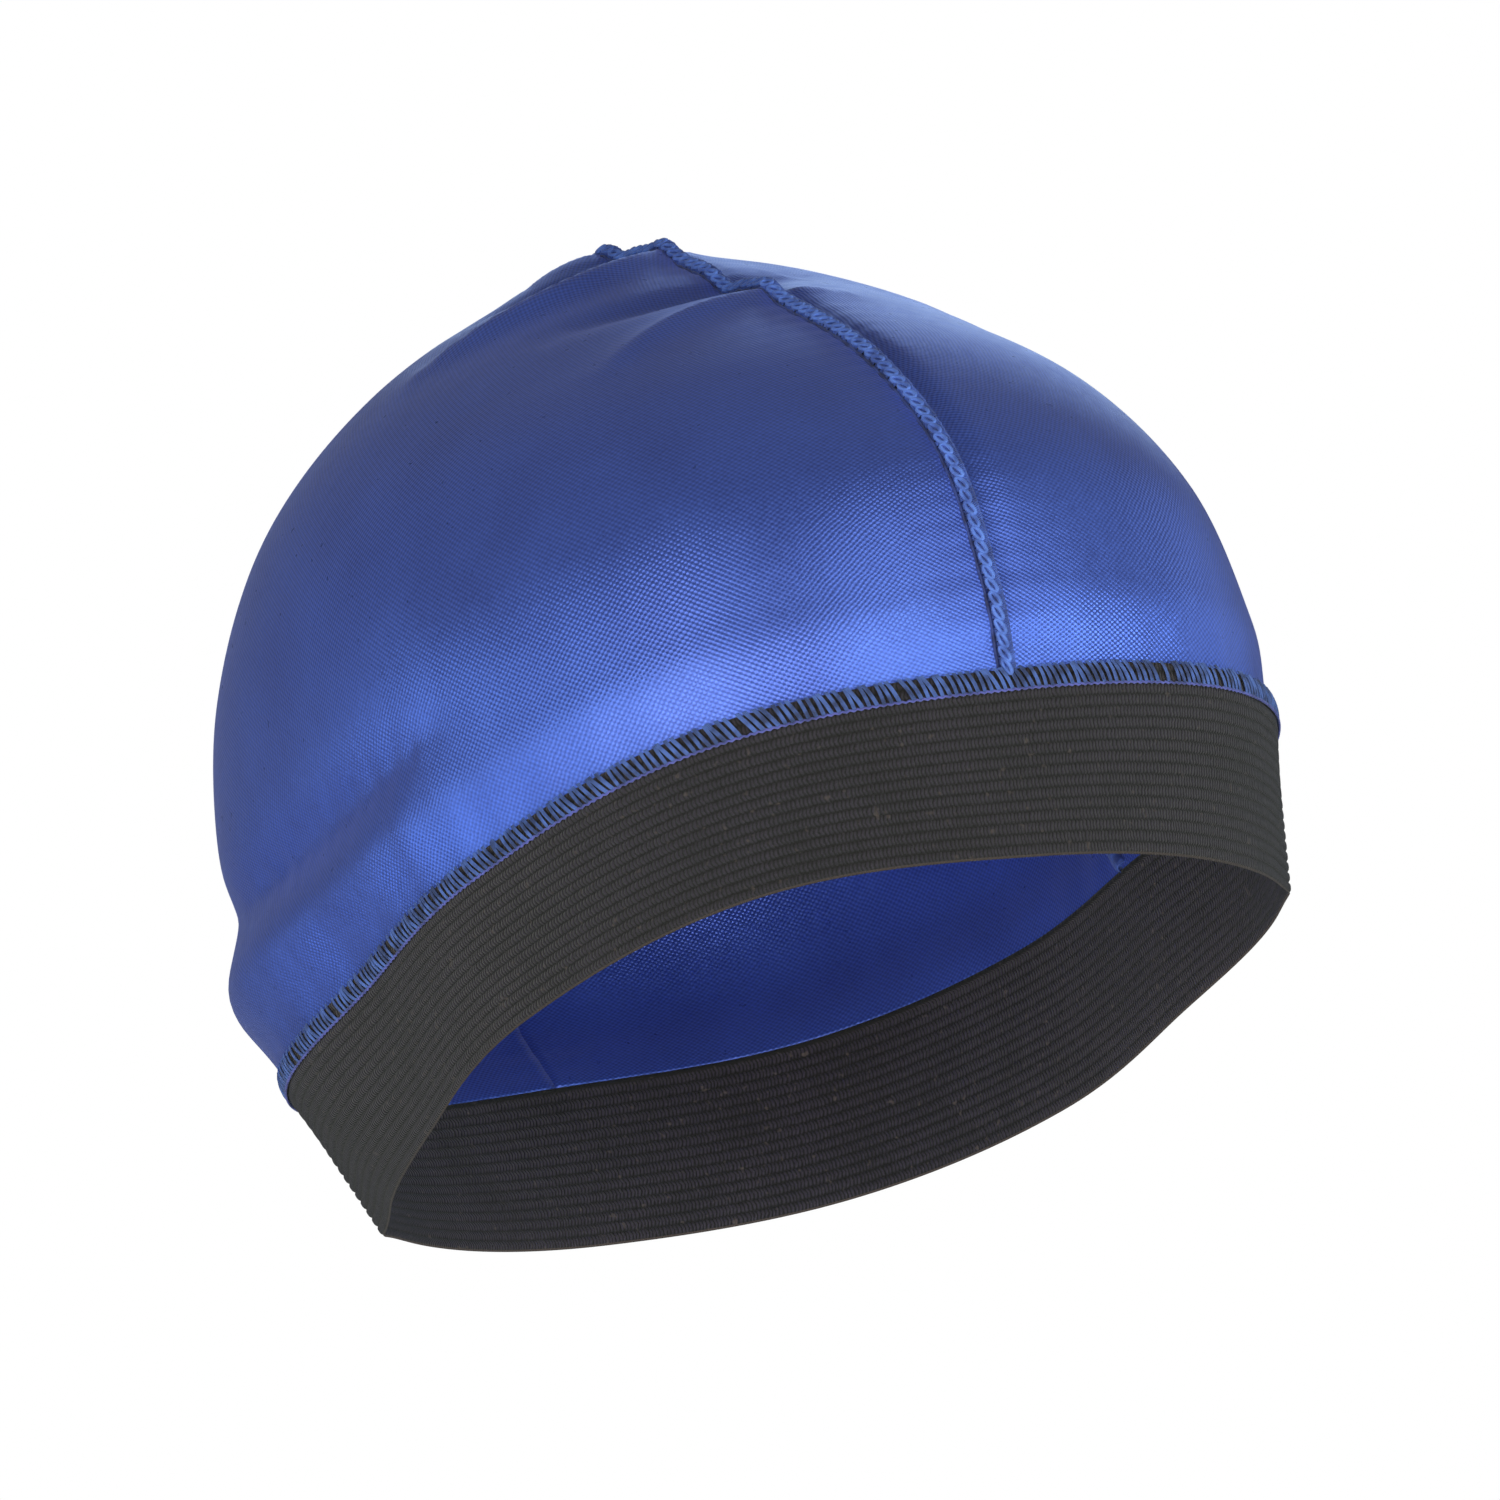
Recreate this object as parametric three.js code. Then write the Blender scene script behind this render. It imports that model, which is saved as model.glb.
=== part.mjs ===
// A close-fitting satin durag of the wave-cap kind: two satin panels joined by a raised
// overlocked seam over the crown, on a wide ribbed elastic band.
// Millimetres. +Z is up, the forehead is at -Y and the wearer's right is -X.
// The origin lies in the middle of the loop where the band meets the satin.

import * as THREE from 'three';

// Driving dimensions
const crownHeight = 119.5;        // from the joint with the band to the crown
const satinThickness = 1.4;
const clearance = 0.3;            // between neighbouring pieces
const seamHalfWidth = 1.5;
const seamStand = 2.2;            // how far the crown seam stands above the satin
const panelEdge = seamHalfWidth + clearance;
const crownDrop = 1.2;            // fall of the crest over its half length
const elasticThickness = 1.6;
const ribCount = 15;
const ribDepth = 0.5;
const elasticTuck = 3.0;          // how far its outer layer runs up behind the overlock
const tuckThickness = 0.6;
const overlockHeight = 3.8;
const overlockThickness = 1.1;
const satinStart = 0.06;          // dome row where the satin begins, on the elastic's shoulder
const satinInset = tuckThickness + 1.5 * clearance;
const insetFullBelow = 0.3;       // dome rows between which the satin swells out again
const insetGoneAbove = 0.9;
const seamStart = 0.34;           // dome row of the crown seam's two feet, above the overlock
const crestPart = 0.06;           // part of the crown seam on the crest, each way from its middle
const roundFrom = 2 / 3;          // rise at which the dome's loops become true ovals
const innerSeamPlace = 4;         // degrees round from +X
const innerSeamHalfWidth = 1.4;
const innerSeamStand = 1.5;
const innerSeamFoot = 0.1;        // dome rows between which the inner seam runs
const innerSeamTip = 1.5;
const innerSeamTaper = 0.8;       // how much of its width it loses towards the tip

// The band's two edges, every 30 degrees round from +X.
// topRadius and topHeight: the joint with the satin. rimRadius and rimHeight: the free edge.
const bandStations = [
  { topRadius: 76.0, topHeight: 0.5, rimRadius: 74.0, rimHeight: -28.0 },
  { topRadius: 82.5, topHeight: -1.0, rimRadius: 79.5, rimHeight: -31.0 },
  { topRadius: 92.0, topHeight: -0.5, rimRadius: 87.5, rimHeight: -31.0 },
  { topRadius: 94.0, topHeight: 2.0, rimRadius: 89.5, rimHeight: -28.5 },
  { topRadius: 93.0, topHeight: -0.5, rimRadius: 84.5, rimHeight: -28.0 },
  { topRadius: 87.0, topHeight: -4.0, rimRadius: 76.0, rimHeight: -30.0 },
  { topRadius: 77.0, topHeight: -2.0, rimRadius: 74.0, rimHeight: -28.5 },
  { topRadius: 86.0, topHeight: 0.5, rimRadius: 83.5, rimHeight: -24.0 },
  { topRadius: 99.0, topHeight: 3.0, rimRadius: 91.5, rimHeight: -21.0 },
  { topRadius: 98.5, topHeight: 1.5, rimRadius: 91.0, rimHeight: -24.5 },
  { topRadius: 99.0, topHeight: 0.0, rimRadius: 88.5, rimHeight: -26.5 },
  { topRadius: 88.8, topHeight: 1.0, rimRadius: 82.9, rimHeight: -25.5 },
];

// Sharp folds across the elastic: where round its free edge, how far out, and their half width
const rimCorners = [
  { degrees: 136.5, out: 2.5, width: 5 },
  { degrees: 322.3, out: 1.8, width: 5 },
];

// Level loops of the dome from the band up to the crest, which lies along the seam.
// rise: part of the crown height. side, front and back: reach from the middle.
const domeRows = [
  { rise: 0.0, side: 79.0, front: 98.0, back: 94.0 },
  { rise: 0.15, side: 81.5, front: 101.5, back: 101.0 },
  { rise: 0.35, side: 81.5, front: 100.5, back: 99.0 },
  { rise: 0.55, side: 77.0, front: 86.5, back: 90.5 },
  { rise: 0.72, side: 65.5, front: 64.0, back: 72.5 },
  { rise: 0.86, side: 45.5, front: 41.0, back: 49.0 },
  { rise: 0.95, side: 22.0, front: 24.0, back: 28.0 },
  { rise: 1.0, side: panelEdge, front: 12.0, back: 12.0 },
];

// Folds and dents. Each runs as an arc through three points given as degrees round and
// dome row. lift is out from the dome, or inward below zero; spread is its half width.
const folds = [
  { name: 'side dent', from: [128, 1.75], over: [168, 1.45], to: [208, 1.35], lift: -3.6, spread: 6.0 },
  { name: 'roll below the dent', from: [130, 0.75], over: [166, 0.75], to: [200, 0.7], lift: 2.6, spread: 6.5 },
  { name: 'crown ridge', from: [286, 5.8], over: [244, 5.0], to: [210, 4.6], lift: 3.2, spread: 4.6 },
  { name: 'hollow behind it', from: [278, 6.6], over: [240, 6.0], to: [210, 5.5], lift: -2.0, spread: 4.8 },
  { name: 'hollow before it', from: [290, 4.8], over: [262, 4.5], to: [236, 4.3], lift: -2.0, spread: 4.8 },
  { name: 'second ridge', from: [284, 4.15], over: [258, 4.0], to: [240, 3.5], lift: 1.9, spread: 4.5 },
  { name: 'far crown roll', from: [290, 7.0], over: [240, 6.6], to: [208, 6.2], lift: 2.2, spread: 4.8 },
  { name: 'right crown roll', from: [300, 6.0], over: [306, 5.0], to: [310, 4.0], lift: 1.0, spread: 6 },
];

// Facets. rowCrowding draws the panels' rows together where the dome turns over.
const rowCrowding = 0.06;
const innerSeamSteps = 8;
const columnsPerPanel = 31;
const rowsOfFacets = 19;
const facetsRoundBand = 2 * columnsPerPanel;
const facetsAlongSeam = 44;
const stepForSlope = 1e-3;
const topRow = domeRows.length - 1;
const panelRows = Array.from({ length: rowsOfFacets + 1 }, (_, step) => {
  const part = step / rowsOfFacets;
  return satinStart + (topRow - satinStart) * (part + rowCrowding * Math.sin(2 * Math.PI * part));
});

// Dome rows where the satin behind the overlock is measured, up to its first facets' top
const rowsBehindOverlock = [0.12, 0.2, 0.3, panelRows[1]];

const colours = {
  satin: 0x3d62c4,
  thread: 0x35579e,
  elastic: 0x2f2d2f,
};

// Smooth curve through four table values, after Catmull and Rom
function smooth(a, b, c, d, t) {
  return 0.5 * (2 * b + (c - a) * t + (2 * a - 5 * b + 4 * c - d) * t * t
    + (3 * b - 3 * c + d - a) * t * t * t);
}

function readRoundTable(table, key, degrees) {
  const spacing = 360 / table.length;
  const place = (((degrees % 360) + 360) % 360) / spacing;
  const index = Math.floor(place);
  const at = (step) => table[(index + step + table.length) % table.length][key];
  return smooth(at(-1), at(0), at(1), at(2), place - index);
}

function readTable(table, key, place) {
  const last = table.length - 1;
  const index = Math.min(Math.max(Math.floor(place), 0), last - 1);
  const at = (step) => table[Math.min(Math.max(index + step, 0), last)][key];
  return smooth(at(-1), at(0), at(1), at(2), place - index);
}

function cornerOut(degrees) {
  return rimCorners.reduce((sum, corner) => {
    const apart = Math.abs(((degrees - corner.degrees) % 360 + 540) % 360 - 180);
    return sum + corner.out * Math.exp(-apart / corner.width);
  }, 0);
}

function loopPoint(degrees, radiusKey, heightKey) {
  const angle = THREE.MathUtils.degToRad(degrees);
  const corner = radiusKey === 'rimRadius' ? cornerOut(degrees) : 0;
  const radius = readRoundTable(bandStations, radiusKey, degrees) + corner;
  const height = readRoundTable(bandStations, heightKey, degrees);
  return new THREE.Vector3(radius * Math.cos(angle), radius * Math.sin(angle), height);
}

// Extents of the joint loop, so that the lowest rows of the dome take its plan shape
const jointLoop = new THREE.Box3().setFromPoints(
  Array.from({ length: 360 }, (_, degrees) => loopPoint(degrees, 'topRadius', 'topHeight')),
);
const jointMiddle = jointLoop.getCenter(new THREE.Vector3());
const jointHalf = jointLoop.getSize(new THREE.Vector3()).multiplyScalar(0.5);

// The bare dome, before folds. side is -1 for the left half and 1 for the right half, and
// turn goes from 0 at the back to 1 at the front. edge is the reach of the seam's side.
function domePoint(side, turn, row, edge) {
  const degrees = side < 0 ? 90 + 180 * turn : 90 - 180 * turn;
  const angle = THREE.MathUtils.degToRad(degrees);
  const joint = loopPoint(degrees, 'topRadius', 'topHeight');
  const rise = readTable(domeRows, 'rise', row);
  const reach = readTable(domeRows, 'side', row);
  const front = readTable(domeRows, 'front', row);
  const back = readTable(domeRows, 'back', row);
  const round = Math.min(1, rise / roundFrom);
  const crest = THREE.MathUtils.smoothstep(row, 6, 7);
  const fade = Math.sin(Math.PI * turn);
  const across = Math.abs(THREE.MathUtils.lerp(
    (joint.x - jointMiddle.x * fade) / jointHalf.x, Math.cos(angle), round));
  const planAlong = THREE.MathUtils.lerp(
    (joint.y - jointMiddle.y) / jointHalf.y, Math.sin(angle), round);
  const along = THREE.MathUtils.lerp(planAlong, 1 - 2 * turn, crest);
  const middle = jointMiddle.x * (1 - round) * fade;
  const x = side * (edge + (reach - edge) * across) + middle;
  const y = (back - front) / 2 + (back + front) / 2 * along;
  const z = joint.z * (1 - rise) + crownHeight * rise - crownDrop * crest * along * along;
  return new THREE.Vector3(x, y, z);
}

// Which half of the dome a direction falls in, and how far it has turned from the back
function halfAndTurn(degrees) {
  const fromBack = (((degrees - 90) % 360) + 360) % 360;
  return fromBack <= 180
    ? { side: -1, turn: fromBack / 180 }
    : { side: 1, turn: (360 - fromBack) / 180 };
}

function domeAt([degrees, row]) {
  const { side, turn } = halfAndTurn(degrees);
  return domePoint(side, turn, row, 0);
}

const foldPaths = folds.map((fold) => {
  const arc = new THREE.CatmullRomCurve3([fold.from, fold.over, fold.to].map(domeAt));
  return { ...fold, points: arc.getPoints(24) };
});

// How far the folds move a point out of the bare dome
function foldLift(point) {
  let lift = 0;
  for (const fold of foldPaths) {
    let nearest = Infinity;
    let place = 0;
    fold.points.forEach((onFold, index) => {
      const distance = onFold.distanceTo(point);
      if (distance < nearest) {
        nearest = distance;
        place = index / (fold.points.length - 1);
      }
    });
    const fade = Math.sqrt(Math.sin(Math.PI * THREE.MathUtils.clamp(place, 0.02, 0.98)));
    lift += fold.lift * fade * Math.exp(-((nearest / fold.spread) ** 2));
  }
  return lift;
}

// Outward direction of the bare dome
function domeNormal(side, turn, row, edge) {
  const turnLow = Math.max(turn - stepForSlope, 0);
  const turnHigh = Math.min(turn + stepForSlope, 1);
  const rowLow = Math.max(row - stepForSlope, 0);
  const rowHigh = Math.min(row + stepForSlope, topRow);
  const along = domePoint(side, turnHigh, row, edge).sub(domePoint(side, turnLow, row, edge));
  const up = domePoint(side, turn, rowHigh, edge).sub(domePoint(side, turn, rowLow, edge));
  return along.cross(up).multiplyScalar(-side).normalize();
}

// A point of the satin, depth below its outer face. The satin steps in behind the elastic.
function clothPoint(side, turn, row, edge, depth) {
  const point = domePoint(side, turn, row, edge);
  const normal = domeNormal(side, turn, row, edge);
  const fade = 1 - THREE.MathUtils.smoothstep(row, insetFullBelow, insetGoneAbove);
  const inset = (satinInset + startsOutside(side, turn, edge)) * fade;
  return point.addScaledVector(normal, foldLift(point) - inset - depth);
}

// How far the bare dome's lowest row lies outside the joint loop
function startsOutside(side, turn, edge) {
  const degrees = 90 - side * 180 * turn;
  const joint = loopPoint(degrees, 'topRadius', 'topHeight');
  return domePoint(side, turn, 0, edge).sub(joint).dot(loopNormal(degrees));
}

// Level outward direction of the joint loop
function loopNormal(degrees) {
  const before = loopPoint(degrees - 1, 'topRadius', 'topHeight');
  const after = loopPoint(degrees + 1, 'topRadius', 'topHeight');
  return new THREE.Vector3(after.y - before.y, before.x - after.x, 0).normalize();
}

// Closed body through a row of sections, each a closed list of the same number of points.
// The sections run on into the first one, or the ends are closed by rungs across them.
function loft(sections, closesOnItself) {
  const size = sections[0].length;
  const positions = sections.flat().flatMap((point) => point.toArray());
  const faces = [];
  const quad = (a, b, c, d) => faces.push(a, b, c, a, c, d);
  const spans = closesOnItself ? sections.length : sections.length - 1;
  for (let span = 0; span < spans; span += 1) {
    const here = span * size;
    const next = ((span + 1) % sections.length) * size;
    for (let corner = 0; corner < size; corner += 1) {
      const after = (corner + 1) % size;
      quad(here + corner, next + corner, next + after, here + after);
    }
  }
  if (!closesOnItself) {
    const last = (sections.length - 1) * size;
    for (let rung = 0; rung < size / 2 - 1; rung += 1) {
      const opposite = size - 1 - rung;
      quad(rung, rung + 1, opposite - 1, opposite);
      quad(last + opposite, last + opposite - 1, last + rung + 1, last + rung);
    }
  }
  const geometry = new THREE.BufferGeometry();
  geometry.setAttribute('position', new THREE.Float32BufferAttribute(positions, 3));
  geometry.setIndex(faces);
  return geometry;
}

function turnFacesOver(geometry) {
  const index = geometry.getIndex();
  for (let face = 0; face < index.count; face += 3) {
    const second = index.getX(face + 1);
    index.setX(face + 1, index.getX(face + 2));
    index.setX(face + 2, second);
  }
  return geometry;
}

function facetedMesh(name, geometry, colour, roughness) {
  const faceted = geometry.toNonIndexed();
  faceted.computeVertexNormals();
  const material = new THREE.MeshStandardMaterial({ color: colour, roughness, metalness: 0 });
  const mesh = new THREE.Mesh(faceted, material);
  mesh.name = name;
  return mesh;
}

// One half of the dome, a hollow shell that stops beside the crown seam
function satinPanel(name, side) {
  const sections = [];
  for (let column = 0; column <= columnsPerPanel; column += 1) {
    const turn = column / columnsPerPanel;
    const besideSeam = column === 0 || column === columnsPerPanel;
    const face = (depth) => panelRows.map((row, step) => {
      const point = clothPoint(side, turn, row, panelEdge, depth);
      if (besideSeam || step === rowsOfFacets) {
        point.x = side * panelEdge;
      }
      return point;
    });
    sections.push([...face(0), ...face(satinThickness).reverse()]);
  }
  const geometry = loft(sections, false);
  if (side > 0) {
    turnFacesOver(geometry);
  }
  return facetedMesh(name, geometry, colours.satin, 0.4);
}

// The cap's profile along the seam, from the front of the band over the crown to the back
function seamLine(part) {
  const half = Math.abs(part - 0.5);
  const turn = part < 0.5 ? 1 : 0;
  if (half < crestPart) {
    const alongCrest = 0.5 - (part - 0.5) / (2 * crestPart);
    return { turn: alongCrest, row: topRow };
  }
  const row = seamStart + (topRow - seamStart) * (0.5 - half) / (0.5 - crestPart);
  return { turn, row };
}

function crownSeam() {
  const section = [
    [-1, -0.45], [-1, 0.45], [-0.8, 0.85], [-0.35, 1],
    [0.35, 1], [0.8, 0.85], [1, 0.45], [1, -0.45],
  ];
  const middles = [];
  for (let step = 0; step <= facetsAlongSeam; step += 1) {
    const { turn, row } = seamLine(step / facetsAlongSeam);
    const point = clothPoint(1, turn, row, 0, 0);
    point.x = 0;
    middles.push(point);
  }
  const path = new THREE.CatmullRomCurve3(middles);
  const sections = middles.map((middle, step) => {
    const along = path.getTangent(step / facetsAlongSeam);
    const out = new THREE.Vector3(0, -along.z, along.y).normalize();
    return section.map(([across, high]) => new THREE.Vector3(
      across * seamHalfWidth, middle.y + out.y * high * seamStand, middle.z + out.z * high * seamStand,
    ));
  });
  return facetedMesh('crown_seam', turnFacesOver(loft(sections, false)), colours.thread, 0.75);
}

// Ribbed outside from the rim up, the layer behind the overlock, the shoulder that carries
// the satin, then the plain inside down to the rim
function elasticBand() {
  const sections = [];
  for (let facet = 0; facet < facetsRoundBand; facet += 1) {
    const degrees = 90 + facet * 360 / facetsRoundBand;
    const joint = loopPoint(degrees, 'topRadius', 'topHeight');
    const rim = loopPoint(degrees, 'rimRadius', 'rimHeight');
    const out = loopNormal(degrees);
    const lean = overlockLean(degrees, joint, out) * elasticTuck / overlockHeight;
    const top = joint.clone().addScaledVector(out, lean);
    top.z += elasticTuck;
    const section = [];
    for (let edge = 0; edge <= 2 * ribCount; edge += 1) {
      const part = edge / (2 * ribCount);
      const inward = edge % 2 === 0 ? ribDepth : 0;
      section.push(rim.clone().lerp(joint, part).addScaledVector(out, -inward));
    }
    section.push(top, top.clone().addScaledVector(out, -tuckThickness));
    section.push(joint.clone().addScaledVector(out, -tuckThickness));
    for (const part of [1, 0.5, 0]) {
      section.push(rim.clone().lerp(joint, part).addScaledVector(out, -elasticThickness));
    }
    sections.push(section);
  }
  return facetedMesh('elastic_band', loft(sections, true), colours.elastic, 0.95);
}

// The threads over the joint, as one flat rounded ring outside the elastic and the satin
function bandOverlock() {
  const outline = [
    [0, 0.1], [0, 0.9], [0.3, 1], [0.75, 0.95], [1, 0.75], [1, 0.25], [0.75, 0.05], [0.3, 0],
  ];
  const sections = [];
  for (let facet = 0; facet < facetsRoundBand; facet += 1) {
    const degrees = 90 + facet * 360 / facetsRoundBand;
    const joint = loopPoint(degrees, 'topRadius', 'topHeight');
    const out = loopNormal(degrees);
    const lean = overlockLean(degrees, joint, out);
    sections.push(outline.map(([thick, high]) => joint.clone()
      .addScaledVector(out, clearance + thick * overlockThickness + high * lean)
      .add(new THREE.Vector3(0, 0, high * overlockHeight))));
  }
  return facetedMesh('band_overlock', turnFacesOver(loft(sections, true)), colours.thread, 0.8);
}

// How far the overlock leans out over its height to clear the satin that swells behind it
function overlockLean(degrees, joint, out) {
  const slopes = rowsBehindOverlock.map((row) => {
    const { side, turn } = halfAndTurn(degrees);
    const satin = clothPoint(side, turn, row, panelEdge, 0).sub(joint);
    return (satin.dot(out) + satinInset) / satin.z;
  });
  return overlockHeight * Math.max(...slopes, 0);
}

// Short raised seam inside the satin, from the band up, thinning out to a point
function innerSeam() {
  const section = [[-1, 0], [-1, 0.5], [-0.5, 1], [0.5, 1], [1, 0.5], [1, 0]];
  const sections = [];
  for (let step = 0; step <= innerSeamSteps; step += 1) {
    const part = step / innerSeamSteps;
    const row = THREE.MathUtils.lerp(innerSeamFoot, innerSeamTip, part);
    const middle = insidePoint(innerSeamPlace, row);
    const above = insidePoint(innerSeamPlace, row + stepForSlope);
    const beside = insidePoint(innerSeamPlace + 1, row).sub(middle).normalize();
    const up = above.sub(middle).normalize();
    const inward = new THREE.Vector3().crossVectors(up, beside).normalize();
    const taper = 1 - innerSeamTaper * part * part;
    sections.push(section.map(([across, high]) => middle.clone()
      .addScaledVector(beside, across * innerSeamHalfWidth * taper)
      .addScaledVector(inward, 2 * clearance + high * innerSeamStand * taper)));
  }
  return facetedMesh('inner_side_seam', loft(sections, false), colours.thread, 0.75);
}

function insidePoint(degrees, row) {
  const { side, turn } = halfAndTurn(degrees);
  return clothPoint(side, turn, row, panelEdge, satinThickness);
}

const durag = new THREE.Group();
durag.add(satinPanel('satin_panel_left', -1));
durag.add(satinPanel('satin_panel_right', 1));
durag.add(crownSeam());
durag.add(elasticBand());
durag.add(bandOverlock());
durag.add(innerSeam());

export default durag;
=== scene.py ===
import math

import bpy
import numpy as np
from mathutils import Matrix, Vector


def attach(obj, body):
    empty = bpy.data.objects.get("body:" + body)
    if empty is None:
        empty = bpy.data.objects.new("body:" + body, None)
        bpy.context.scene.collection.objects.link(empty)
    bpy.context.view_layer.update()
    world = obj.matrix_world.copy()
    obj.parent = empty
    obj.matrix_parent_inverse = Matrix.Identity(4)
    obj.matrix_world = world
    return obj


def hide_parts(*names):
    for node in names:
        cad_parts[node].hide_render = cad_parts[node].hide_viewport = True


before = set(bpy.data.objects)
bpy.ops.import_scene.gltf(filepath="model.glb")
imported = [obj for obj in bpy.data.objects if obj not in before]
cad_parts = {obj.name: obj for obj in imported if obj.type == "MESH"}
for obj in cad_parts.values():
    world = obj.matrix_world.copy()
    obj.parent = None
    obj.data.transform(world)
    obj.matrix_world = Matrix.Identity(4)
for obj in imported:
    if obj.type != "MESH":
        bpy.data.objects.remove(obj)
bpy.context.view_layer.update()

mm = 0.001
cm = 0.01

# Shape of the cap, in millimetres. The band's two edges, every 30 degrees round from +X.
bandShape = {
    "topRadius": [76.0, 82.5, 92.0, 94.0, 93.0, 87.0, 77.0, 86.0, 99.0, 98.5, 99.0, 88.8],
    "topHeight": [0.5, -1.0, -0.5, 2.0, -0.5, -4.0, -2.0, 0.5, 3.0, 1.5, 0.0, 1.0],
    "rimRadius": [74.0, 79.5, 87.5, 89.5, 84.5, 76.0, 74.0, 83.5, 91.5, 91.0, 88.5, 82.9],
    "rimHeight": [-28.0, -31.0, -31.0, -28.5, -28.0, -30.0, -28.5, -24.0, -21.0, -24.5, -26.5, -25.5],
}

# Sharp folds across the elastic: where round its free edge, how far out, the half width
rimCorners = {"back right": (136.5, 2.5, 5.0), "front left": (322.3, 1.8, 5.0)}

# Level loops of the dome from the band up to the crest
domeShape = {
    "rise": [0.0, 0.15, 0.35, 0.55, 0.72, 0.86, 0.95, 1.0],   # part of the crown height
    "side": [79.0, 81.5, 81.5, 77.0, 65.5, 45.5, 22.0, 1.8],
    "front": [98.0, 101.5, 100.5, 86.5, 64.0, 41.0, 24.0, 12.0],
    "back": [94.0, 101.0, 99.0, 90.5, 72.5, 49.0, 28.0, 12.0],
    "crownHeight": 119.5,
    "crownDrop": 1.2,       # at the two ends of the crest
    "rounding": 1.5,        # how soon the band's own plan gives way to a round one
    "crestFrom": 6,         # the row where the plan starts to narrow into the crest
}
topRow = len(domeShape["rise"]) - 1

# Folds: three places as (degrees round, dome row), how far out, the half width, and the
# power of the fall to each side, which is lower for a sharper crease
folds = {
    "side dent": [(128, 1.75), (168, 1.45), (208, 1.35), -4.0, 5.5, 1.5],
    "roll below the dent": [(130, 1.15), (152, 1.02), (200, 0.85), 2.3, 6.2, 2.0],
    "crown ridge": [(286, 5.8), (244, 5.0), (210, 4.6), 3.4, 3.6, 1.4],
    "hollow behind it": [(278, 6.6), (240, 6.0), (210, 5.5), -2.2, 4.5, 2.0],
    "hollow before it": [(290, 4.8), (262, 4.5), (236, 4.3), -2.2, 4.5, 2.0],
    "second ridge": [(284, 4.15), (258, 4.0), (240, 3.5), 2.0, 3.4, 1.3],
    "far crown roll": [(290, 7.0), (240, 6.6), (208, 6.2), 2.4, 4.5, 1.6],
    "right crown roll": [(300, 6.0), (306, 5.0), (310, 4.0), 1.0, 6.0, 2.0],
}
foldSteps = 60
foldEnd = 0.02      # past its ends a fold keeps the height that it has this far along


def smoothValue(a, b, c, d, t):
    return 0.5 * (2 * b + (c - a) * t + (2 * a - 5 * b + 4 * c - d) * t**2
                  + (3 * b - 3 * c + d - a) * t**3)


def easeBetween(value, low, high):
    step = np.clip((value - low) / (high - low), 0, 1)
    return step * step * (3 - 2 * step)


def readRound(values, degrees):
    values = np.array(values, float)
    count = len(values)
    place = (np.asarray(degrees, float) % 360) * count / 360
    index = np.floor(place).astype(int)
    a, b, c, d = (values[(index + step) % count] for step in (-1, 0, 1, 2))
    return smoothValue(a, b, c, d, place - index)


def readRows(key, row):
    values = np.array(domeShape[key], float)
    index = np.clip(np.floor(row).astype(int), 0, topRow - 1)
    a, b, c, d = (values[np.clip(index + step, 0, topRow)] for step in (-1, 0, 1, 2))
    return smoothValue(a, b, c, d, row - index)


def loopPoints(degrees, edge):
    angle = np.radians(degrees)
    radius = readRound(bandShape[edge + "Radius"], degrees)
    if edge == "rim":
        for corner, out, width in rimCorners.values():
            apart = np.abs((np.asarray(degrees) - corner + 180) % 360 - 180)
            radius = radius + out * np.exp(-apart / width)
    height = readRound(bandShape[edge + "Height"], degrees)
    return np.stack([radius * np.cos(angle), radius * np.sin(angle), height], -1)


jointLoop = loopPoints(np.arange(360), "top")
jointMiddle = (jointLoop.max(0) + jointLoop.min(0)) / 2
jointHalf = (jointLoop.max(0) - jointLoop.min(0)) / 2


# side is -1 for the panel on the photograph's left and 1 for the other one; turn runs from
# 0 at the back to 1 at the front; row counts up the dome; edge is the gap beside the seam
def domePoints(side, turn, row, edge):
    turn, row = np.broadcast_arrays(np.asarray(turn, float), np.asarray(row, float))
    degrees = 90 - side * 180 * turn
    angle = np.radians(degrees)
    joint = loopPoints(degrees, "top")
    rise = readRows("rise", row)
    reach = readRows("side", row)
    front = readRows("front", row)
    back = readRows("back", row)
    roundness = np.minimum(1, domeShape["rounding"] * rise)
    crest = easeBetween(row, domeShape["crestFrom"], topRow)
    fade = np.sin(np.pi * turn)
    planX = (joint[..., 0] - jointMiddle[0] * fade) / jointHalf[0]
    planY = (joint[..., 1] - jointMiddle[1]) / jointHalf[1]
    across = np.abs(planX * (1 - roundness) + np.cos(angle) * roundness)
    along = planY * (1 - roundness) + np.sin(angle) * roundness
    along = along * (1 - crest) + (1 - 2 * turn) * crest
    middle = jointMiddle[0] * (1 - roundness) * fade
    x = side * (edge + (reach - edge) * across) + middle
    y = (back - front) / 2 + (back + front) / 2 * along
    z = joint[..., 2] * (1 - rise) + domeShape["crownHeight"] * rise
    z = z - domeShape["crownDrop"] * crest * along**2
    return np.stack([x, y, z], -1)


def halfAndTurn(degrees):
    fromBack = (degrees - 90) % 360
    if fromBack <= 180:
        return -1, fromBack / 180
    return 1, (360 - fromBack) / 180


def unit(vectors):
    return vectors / np.maximum(np.linalg.norm(vectors, axis=-1, keepdims=True), 1e-12)


def domeNormals(side, turn, row, edge):
    step = 1e-3
    turn, row = np.broadcast_arrays(np.asarray(turn, float), np.asarray(row, float))
    along = (domePoints(side, np.minimum(turn + step, 1), row, edge)
             - domePoints(side, np.maximum(turn - step, 0), row, edge))
    up = (domePoints(side, turn, np.minimum(row + step, topRow), edge)
          - domePoints(side, turn, np.maximum(row - step, 0), edge))
    return unit(np.cross(along, up)) * -side


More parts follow.
